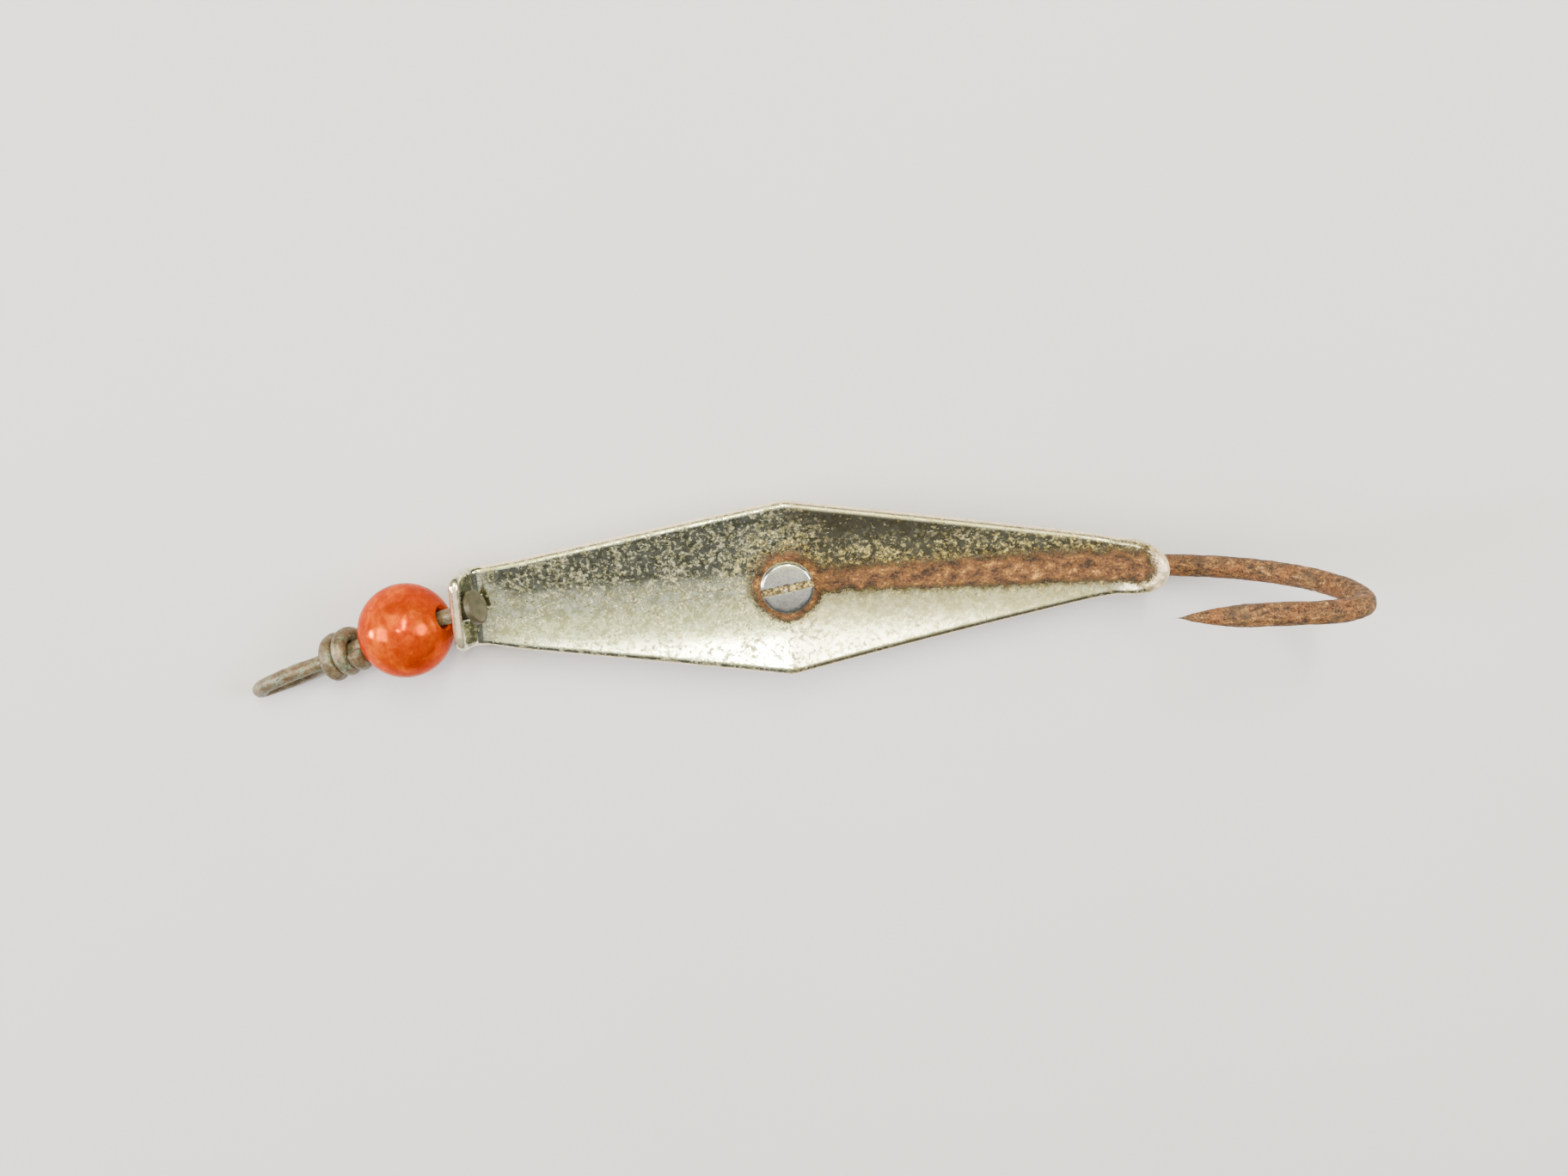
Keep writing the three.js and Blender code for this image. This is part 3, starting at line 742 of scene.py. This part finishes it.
class Shader:
    """Short names for the nodes of one material, worked in millimetres."""

    def __init__(self, name):
        self.material = bpy.data.materials.new(name)
        self.material.use_nodes = True
        self.tree = self.material.node_tree
        self.tree.nodes.clear()
        self.surface = self.tree.nodes.new("ShaderNodeBsdfPrincipled")
        output = self.tree.nodes.new("ShaderNodeOutputMaterial")
        self.tree.links.new(self.surface.outputs[0], output.inputs[0])
        place = self.tree.nodes.new("ShaderNodeTexCoord")
        scale = self.tree.nodes.new("ShaderNodeVectorMath")
        scale.operation = "SCALE"
        scale.inputs[3].default_value = 1 / MM
        self.tree.links.new(place.outputs["Object"], scale.inputs[0])
        self.place = scale.outputs[0]

    def put(self, socket, value):
        if isinstance(value, bpy.types.NodeSocket):
            self.tree.links.new(value, socket)
        else:
            socket.default_value = value

    def math(self, operation, a, b=0.0, c=0.0):
        node = self.tree.nodes.new("ShaderNodeMath")
        node.operation = operation
        for socket, value in zip(node.inputs, (a, b, c)):
            self.put(socket, value)
        return node.outputs[0]

    def times(self, a, b):
        return self.math("MULTIPLY", a, b)

    def total(self, *terms):
        """The sum of (value, weight) products."""
        products = [self.times(value, weight) for value, weight in terms]
        result = products[0]
        for product in products[1:]:
            result = self.math("ADD", result, product)
        return result

    def shifted(self, base, *shifts):
        """The base plus each (mask, amount) product, kept between 0 and 1 at the end."""
        for mask, amount in shifts:
            base = self.math("MULTIPLY_ADD", mask, amount, base)
        base.node.use_clamp = True
        return base

    def between(self, value, low, high, to_low=0.0, to_high=1.0):
        """Goes smoothly from to_low to to_high as value goes from low to high."""
        node = self.tree.nodes.new("ShaderNodeMapRange")
        node.interpolation_type = "SMOOTHSTEP"
        for socket, number in zip(node.inputs, (value, low, high, to_low, to_high)):
            self.put(socket, number)
        return node.outputs[0]

    def noise(self, scale, detail=3.0, roughness=0.5, distortion=0.0, place=None):
        node = self.tree.nodes.new("ShaderNodeTexNoise")
        self.put(node.inputs["Vector"], place or self.place)
        node.inputs["Scale"].default_value = scale
        node.inputs["Detail"].default_value = detail
        node.inputs["Roughness"].default_value = roughness
        node.inputs["Distortion"].default_value = distortion
        return node.outputs[0]

    def cells(self, scale):
        node = self.tree.nodes.new("ShaderNodeTexVoronoi")
        self.put(node.inputs["Vector"], self.place)
        node.inputs["Scale"].default_value = scale
        return node.outputs["Distance"]

    def stretched(self, x, y, z, turn=0.0):
        """The place with its axes scaled and turned, for noise with a grain."""
        node = self.tree.nodes.new("ShaderNodeMapping")
        self.put(node.inputs["Vector"], self.place)
        node.inputs["Scale"].default_value = (x, y, z)
        node.inputs["Rotation"].default_value = (0, 0, turn)
        return node.outputs[0]

    def parts(self):
        node = self.tree.nodes.new("ShaderNodeSeparateXYZ")
        self.put(node.inputs[0], self.place)
        return node.outputs[0], node.outputs[1], node.outputs[2]

    def ramp(self, value, *stops):
        """Colours by value; each stop is (position, (r, g, b)) in screen colours."""
        node = self.tree.nodes.new("ShaderNodeValToRGB")
        self.put(node.inputs[0], value)
        while len(node.color_ramp.elements) < len(stops):
            node.color_ramp.elements.new(0.5)
        for element, (position, colour) in zip(node.color_ramp.elements, stops):
            element.position = position
            element.color = linear(*colour)
        return node.outputs[0]

    def blend(self, share, a, b):
        node = self.tree.nodes.new("ShaderNodeMix")
        node.data_type = "RGBA"
        self.put(node.inputs[0], share)
        self.put(node.inputs[6], a)
        self.put(node.inputs[7], b)
        return node.outputs[2]

    def layered(self, colour, *layers):
        """Lays each (share, colour) over what is there."""
        for share, layer in layers:
            colour = self.blend(share, colour, layer)
        return colour

    def attribute(self, name):
        node = self.tree.nodes.new("ShaderNodeAttribute")
        node.attribute_name = name
        return node.outputs["Fac"]

    def bump(self, height, distance, strength=1.0, below=None):
        node = self.tree.nodes.new("ShaderNodeBump")
        node.inputs["Strength"].default_value = strength
        node.inputs["Distance"].default_value = distance * MM
        self.put(node.inputs["Height"], height)
        if below is not None:
            self.put(node.inputs["Normal"], below)
        return node.outputs[0]

    def finish(self, colour, metallic, roughness, normal=None):
        """Sets the surface's inputs and gives the material."""
        self.put(self.surface.inputs["Base Color"], colour)
        self.put(self.surface.inputs["Metallic"], metallic)
        self.put(self.surface.inputs["Roughness"], roughness)
        if normal is not None:
            self.put(self.surface.inputs["Normal"], normal)
        return self.material


def stain_distance(shader):
    """Distance in millimetres outside the rust: a round-ended band to the tail and a ring."""
    x, y, _ = shader.parts()
    x = shader.math("SUBTRACT", x, AXIS[0])
    y = shader.math("SUBTRACT", y, AXIS[1])
    off = shader.math("SUBTRACT", y, shader.between(x, 4.0, 30.0, 0.35, 0.15))
    near = shader.math("MINIMUM", shader.math("MAXIMUM", x, 0.0), RUST_BAND_END)
    beyond = shader.math("SUBTRACT", x, near)
    gap = shader.math("SQRT", shader.math("ADD", shader.math("POWER", beyond, 2.0),
                                          shader.math("POWER", off, 2.0)))
    width = shader.between(x, 4.0, 26.0, 1.1, 1.45)
    band = shader.math("SUBTRACT", gap, width)
    radius = shader.math("SQRT", shader.math("ADD", shader.math("POWER", x, 2.0),
                                             shader.math("POWER", y, 2.0)))
    ring = shader.math("SUBTRACT", radius, RUST_RING_RADIUS)
    shape = shader.math("SMOOTH_MIN", band, ring, 0.8)
    softer = shader.between(off, -0.5, 1.0, 1.0, 0.6)
    shape = shader.times(shape, softer)
    ragged = shader.math("MULTIPLY_ADD", shader.noise(0.75, 4, 0.6), 1.2, -0.6)
    fine = shader.math("MULTIPLY_ADD", shader.noise(4.5, 4, 0.7), 1.6, -0.8)
    return shader.math("ADD", shape, shader.math("ADD", ragged, fine))


def rust_colour(shader):
    broad = shader.noise(1.0, 4, 0.65, place=shader.stretched(0.7, 1.2, 1.0))
    fine = shader.noise(4.5, 5, 0.75)
    mixed = shader.total((broad, 0.55), (fine, 0.45))
    return shader.ramp(mixed, (0.41, (40, 26, 16)), (0.46, (80, 51, 30)), (0.52, (108, 70, 37)),
                       (0.57, (136, 92, 46)), (0.62, (206, 156, 82)))


def plate_masks(shader):
    """The plate's patterns, and where it is rusty, dull, flecked, pitted and rubbed bare, and where a
    highlight is painted on the rim and at the tail's end.
    """
    x, y, _ = shader.parts()
    distance = stain_distance(shader)
    halo = shader.between(distance, 3.0, 0.2)
    blotch = shader.noise(0.35, 4, 0.6)
    patch = shader.noise(0.9, 5, 0.65)
    speck = shader.noise(1.9, 5, 0.7)
    tarnish = shader.total((blotch, 0.22), (patch, 0.13), (speck, 0.65))
    head = shader.between(x, AXIS[0] - 31, AXIS[0] - 32.5, 0.01, -0.06)
    tail = shader.between(x, AXIS[0] - 0.4, AXIS[0] + 5.0, 0.0, -0.06)
    bias = shader.math("ADD", shader.math("MULTIPLY_ADD", halo, 0.03, head), tail)
    above = shader.between(y, AXIS[1] - 1.5, AXIS[1] + 1.0, 0.45, 1.0)
    fleck_spots = shader.between(shader.noise(1.7, 4, 0.7), 0.52, 0.58)
    pit_spots = shader.between(shader.noise(0.45, 2), 0.48, 0.6)
    # The tail's end is painted warm white as a highlight.
    tail_tip_highlight = shader.between(x, AXIS[0] + 37.6, AXIS[0] + 38.4)
    # The rim is made brighter: partly rubbed metal, partly a painted highlight.
    worn_and_highlit_rim = shader.times(shader.attribute("rim"), shader.between(patch, 0.62, 0.46, 0.6, 1.0))
    return SimpleNamespace(
        tarnish=tarnish,
        speck=speck,
        grit=shader.noise(3.6, 3, 0.65),
        dull=shader.between(shader.math("ADD", tarnish, bias), 0.50, 0.57),
        tail_side=shader.between(x, AXIS[0] - 0.4, AXIS[0] + 0.4),
        flecks=shader.times(shader.times(halo, above), fleck_spots),
        pits=shader.times(shader.between(shader.cells(1.9), 0.16, 0.05), pit_spots),
        tail_tip_highlight=tail_tip_highlight,
        clean=shader.math("MAXIMUM", worn_and_highlit_rim, shader.times(tail_tip_highlight, 0.85)),
        rust_edge=shader.between(distance, 1.1, 0.1),
        rust=shader.between(distance, 0.35, -0.25))


def plate_colour(shader, masks):
    x, _, _ = shader.parts()
    metal = shader.ramp(masks.tarnish, (0.40, (238, 240, 212)), (0.50, (208, 210, 182)),
                        (0.58, (152, 150, 126)))
    oxide = shader.ramp(masks.grit, (0.38, (76, 70, 54)), (0.48, (132, 127, 100)), (0.58, (222, 216, 176)))
    golden = shader.ramp(masks.grit, (0.40, (88, 66, 22)), (0.5, (178, 150, 62)), (0.58, (250, 236, 142)))
    mottle = shader.between(shader.noise(1.0, 6, 0.75), 0.45, 0.58, 0.0, 0.6)
    mottle = shader.times(mottle, shader.between(x, AXIS[0] - 33, AXIS[0] - 31, 0.4, 1.0))
    olive = linear(136, 134, 92)
    # The tail half is painted darker and browner: partly its own browner tone, partly painted shade.
    brown = linear(138, 122, 88)
    pit_dark = linear(48, 40, 26)
    # Warm white for the rim and the tail's end: rubbed metal at the rim, and a painted highlight at both.
    wear_and_highlight_white = linear(255, 230, 194)
    edge_dark = linear(74, 50, 20)
    return shader.layered(
        metal,
        (shader.times(masks.dull, 0.9), oxide),
        (mottle, olive),
        # Painted shade, with some browner tone: the tail half darker.
        (shader.times(masks.tail_side, 0.5), brown),
        (shader.times(masks.flecks, 0.9), golden),
        (masks.pits, pit_dark),
        (masks.clean, wear_and_highlight_white),
        (shader.times(masks.rust_edge, 0.7), edge_dark),
        (masks.rust, rust_colour(shader)))


def plate_normal(shader, masks):
    """Fine skin, pits and raised rust, with the skin held back on the rubbed rim, on the painted
    highlights at the rim and the tail's end, and at the head.
    """
    x, _, _ = shader.parts()
    streaks = shader.noise(1.0, 3, 0.6, place=shader.stretched(5.0, 0.6, 1.0, 0.25))
    skin = shader.total((masks.speck, 0.7), (streaks, 0.3))
    skin = shader.times(skin, shader.math("SUBTRACT", 1.0, shader.times(masks.clean, 0.85)))
    skin = shader.times(skin, shader.between(x, AXIS[0] - 33, AXIS[0] - 30.5, 0.04, 1.0))
    crust = shader.times(masks.rust, shader.math("ADD", shader.noise(3.0, 5, 0.7), 0.6))
    normal = shader.bump(skin, 0.030, 0.6)
    normal = shader.bump(shader.times(masks.pits, -1.0), 0.06, 0.8, normal)
    return shader.bump(crust, 0.20, 1.0, normal)


def plate_material():
    shader = Shader("worn_plating")
    masks = plate_masks(shader)
    rough = shader.shifted(shader.between(masks.speck, 0.38, 0.62, 0.12, 0.18),
                           (masks.tail_side, 0.12), (masks.dull, 0.26), (masks.flecks, 0.20),
                           (masks.clean, -0.10), (masks.tail_tip_highlight, 0.22), (masks.rust, 0.55))
    metallic = shader.shifted(1.0, (masks.rust, -0.9), (shader.times(masks.dull, masks.grit), -0.7),
                              (masks.flecks, -0.5), (masks.clean, -0.3))
    return shader.finish(plate_colour(shader, masks), metallic, rough, plate_normal(shader, masks))


def hook_material():
    shader = Shader("rusted_steel")
    grain = shader.noise(1.0, 5, 0.72, place=shader.stretched(1.0, 2.2, 1.3, 0.5))
    fine = shader.noise(5.0, 5, 0.75)
    patch = shader.noise(0.4, 3, 0.6)
    mixed = shader.total((grain, 0.55), (fine, 0.45))
    rust = shader.ramp(mixed, (0.41, (30, 19, 11)), (0.46, (72, 48, 27)), (0.52, (108, 72, 38)),
                       (0.57, (140, 97, 53)), (0.63, (196, 152, 98)))
    orange = shader.times(shader.between(patch, 0.50, 0.64), shader.between(fine, 0.42, 0.58))
    dark = shader.between(patch, 0.46, 0.34)
    colour = shader.layered(rust, (shader.times(orange, 0.6), linear(138, 76, 26)),
                            (shader.times(dark, 0.6), linear(66, 52, 38)))
    pits = shader.between(shader.cells(1.6), 0.02, 0.30)
    normal = shader.bump(shader.total((mixed, 0.8), (pits, 0.3)), 0.30, 0.9)
    return shader.finish(colour, 0.2, shader.between(fine, 0.3, 0.7, 0.8, 0.55), normal)


def nickel_material():
    """Dull nickel plate, with dirt and painted shade along the bottom of the screw's slot."""
    shader = Shader("nickel")
    wear = shader.noise(0.9, 4, 0.6)
    specks = shader.noise(4.0, 3, 0.65)
    lines = shader.noise(1.0, 2, 0.5, place=shader.stretched(1.0, 18.0, 1.0, -0.16))
    colour = shader.ramp(specks, (0.34, (186, 184, 174)), (0.5, (206, 204, 196)), (0.64, (216, 214, 208)))
    _, _, z = shader.parts()
    slot_floor = SCREW_TOP - SLOT_DEPTH
    # The bottom of the slot takes a dirt colour, darkened as painted shade in the recess.
    low = shader.times(shader.between(z, slot_floor + 0.45, slot_floor + 0.05),
                       shader.between(z, slot_floor - 0.25, slot_floor - 0.15))
    dirt_and_shade = shader.times(low, shader.between(wear, 0.25, 0.42))
    dirt_and_shade_colour = shader.ramp(shader.noise(3.0, 4, 0.7), (0.40, (34, 27, 12)), (0.5, (112, 90, 44)),
                      (0.60, (206, 186, 122)))
    rough = shader.shifted(shader.between(wear, 0.35, 0.65, 0.14, 0.26), (dirt_and_shade, 0.5))
    metallic = shader.math("MULTIPLY_ADD", dirt_and_shade, -0.95, 1.0)
    normal = shader.bump(shader.total((specks, 0.5), (lines, 0.5)), 0.002, 0.3)
    return shader.finish(shader.blend(dirt_and_shade, colour, dirt_and_shade_colour), metallic, rough, normal)


def wire_material():
    """Dull brass with green patches, and painted shade darkening it inside the turned-up head."""
    shader = Shader("old_brass")
    broad = shader.noise(0.7, 4, 0.6)
    fine = shader.noise(4.0, 5, 0.75)
    mixed = shader.total((broad, 0.5), (fine, 0.5))
    brown = shader.ramp(mixed, (0.38, (70, 57, 42)), (0.47, (94, 78, 57)), (0.55, (114, 97, 73)),
                        (0.64, (142, 124, 97)))
    green = shader.times(shader.between(shader.noise(1.1, 4, 0.65), 0.50, 0.62),
                         shader.between(fine, 0.35, 0.58))
    reddish = shader.between(shader.noise(0.8, 2), 0.60, 0.72)
    x, _, _ = shader.parts()
    # Painted shade: the flat head inside the turned-up head is made darker and smoother.
    inside = shader.times(shader.between(x, PIVOT[0] - 0.2, PIVOT[0] + 0.1),
                          shader.between(fine, 0.3, 0.7, 0.75, 1.0))
    colour = shader.layered(brown, (shader.times(green, 0.7), linear(124, 144, 124)),
                            (shader.times(reddish, 0.4), linear(92, 50, 34)),
                            (inside, linear(60, 55, 37)))
    rough = shader.math("MULTIPLY_ADD", green, 0.25, shader.between(fine, 0.3, 0.7, 0.52, 0.36))
    height = shader.times(mixed, shader.math("SUBTRACT", 1.0, shader.times(inside, 0.8)))
    return shader.finish(colour, 0.35, rough, shader.bump(height, 0.06, 0.7))


def bead_material():
    """Clouded orange-red that light sinks into a little, with orange reflections and pale-orange specks
    painted in as highlights.
    """
    shader = Shader("amber_bead")
    cloud = shader.noise(0.30, 4, 0.6, 0.4)
    vein = shader.noise(0.9, 5, 0.65, 0.8)
    mixed = shader.total((cloud, 0.6), (vein, 0.4))
    colour = shader.ramp(mixed, (0.40, (150, 40, 0)), (0.47, (164, 52, 0)), (0.54, (178, 62, 0)),
                         (0.62, (204, 86, 0)))
    # The pale-orange specks are painted highlights.
    specks = shader.between(shader.noise(2.8, 3, 0.7), 0.64, 0.72)
    colour = shader.blend(shader.times(specks, 0.25), colour, linear(240, 130, 50))
    surface = shader.surface.inputs
    surface["Subsurface Weight"].default_value = 0.25
    surface["Subsurface Radius"].default_value = (1.0, 0.20, 0.04)
    surface["Subsurface Scale"].default_value = 0.002
    surface["IOR"].default_value = 1.12
    surface["Specular Tint"].default_value = (1.0, 0.42, 0.14, 1.0)
    normal = shader.bump(shader.noise(0.8, 3, 0.5), 0.02, 0.4)
    return shader.finish(colour, 0.35, shader.between(vein, 0.35, 0.65, 0.14, 0.22), normal)


def floor_material():
    shader = Shader("studio_floor")
    tone = shader.ramp(shader.noise(0.02, 2), (0.3, (208, 204, 207)), (0.7, (211, 207, 210)))
    return shader.finish(tone, 0.0, 0.85)


def dress(piece, material, body, node):
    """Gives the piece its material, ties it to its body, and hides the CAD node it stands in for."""
    piece.data.materials.clear()
    piece.data.materials.append(material)
    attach(piece, body)
    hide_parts(node)


# ---------------------------------------------------------------- camera, floor and light

def make_camera():
    """Looks down at the plate from above, with a small lean and roll."""
    data = bpy.data.cameras.new("camera")
    data.sensor_width = SENSOR_WIDTH
    data.lens = LENS
    data.clip_start = 0.01
    data.clip_end = 10
    camera = bpy.data.objects.new("camera", data)
    bpy.context.scene.collection.objects.link(camera)
    back = Vector((0, math.sin(CAMERA_LEAN), math.cos(CAMERA_LEAN)))
    camera.location = (Vector(CAMERA_TARGET) + back * CAMERA_DISTANCE) * MM
    right = Vector((1, 0, 0))
    up = back.cross(right)
    turned_right = right * math.cos(CAMERA_ROLL) + up * math.sin(CAMERA_ROLL)
    turned_up = up * math.cos(CAMERA_ROLL) - right * math.sin(CAMERA_ROLL)
    rotation = np.array([turned_right, turned_up, back]).T
    camera.rotation_euler = Matrix(rotation.tolist()).to_euler()
    bpy.context.scene.camera = camera


def area_light(name, place, size, power, colour):
    """A soft light that faces the middle of the floor."""
    data = bpy.data.lights.new(name, "AREA")
    data.shape = "RECTANGLE"
    data.size, data.size_y = size
    data.energy = power
    data.color = colour
    light = bpy.data.objects.new(name, data)
    bpy.context.scene.collection.objects.link(light)
    light.location = place
    way = Vector((0, 0, 0)) - Vector(place)
    light.rotation_euler = way.to_track_quat("-Z", "Y").to_euler()


def make_studio():
    reach = FLOOR_REACH
    corners = [(-reach, -reach, 0), (reach, -reach, 0), (reach, reach, 0), (-reach, reach, 0)]
    floor = new_mesh("floor", corners, [(0, 1, 2, 3)], False)
    floor.data.materials.append(floor_material())
    for light in LIGHTS:
        area_light(*light)
    world = bpy.data.worlds.new("studio")
    world.use_nodes = True
    background = world.node_tree.nodes["Background"].inputs
    background[0].default_value = WORLD_COLOUR
    background[1].default_value = WORLD_STRENGTH
    bpy.context.scene.world = world


make_camera()
make_studio()
nickel = nickel_material()
dress(make_plate(), plate_material(), "spoon", "spoon_plate")
dress(make_hook(), hook_material(), "spoon", "hook")
dress(make_screw(), nickel, "spoon", "screw")
dress(make_washer(), nickel, "spoon", "washer")
dress(make_nut(), nickel, "spoon", "nut")
dress(make_bead(), bead_material(), "bead", "bead")
dress(make_link(), wire_material(), "link", "link_wire")
